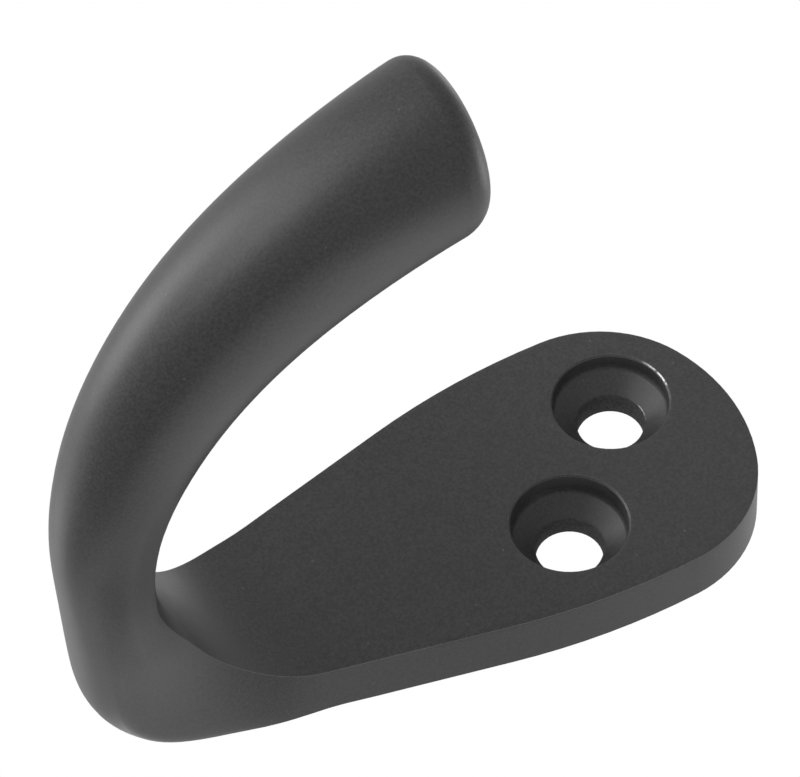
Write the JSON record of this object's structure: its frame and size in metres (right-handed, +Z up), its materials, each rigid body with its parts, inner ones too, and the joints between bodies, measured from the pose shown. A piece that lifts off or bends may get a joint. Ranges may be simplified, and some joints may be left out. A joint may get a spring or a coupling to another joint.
{
  "type": "single robe hook",
  "caption": "Single robe hook cast in one piece: a teardrop wall plate with countersunk screw holes turns out into a thick upswept arm, in a dark satin coat.",
  "frame": {"origin": "midway between the screw holes, on the back face that lies against the wall", "axes": "+Z up the wall, +X to the right seen from the room, +Y into the wall, so the arm stands out toward -Y"},
  "size_m": [0.0218, 0.0506, 0.0517],
  "materials": {
    "dark_coat": "fine-grained satin coat, dark grey to black"
  },
  "bodies": {
    "root": {"hook": "dark_coat"}
  },
  "joints": []
}
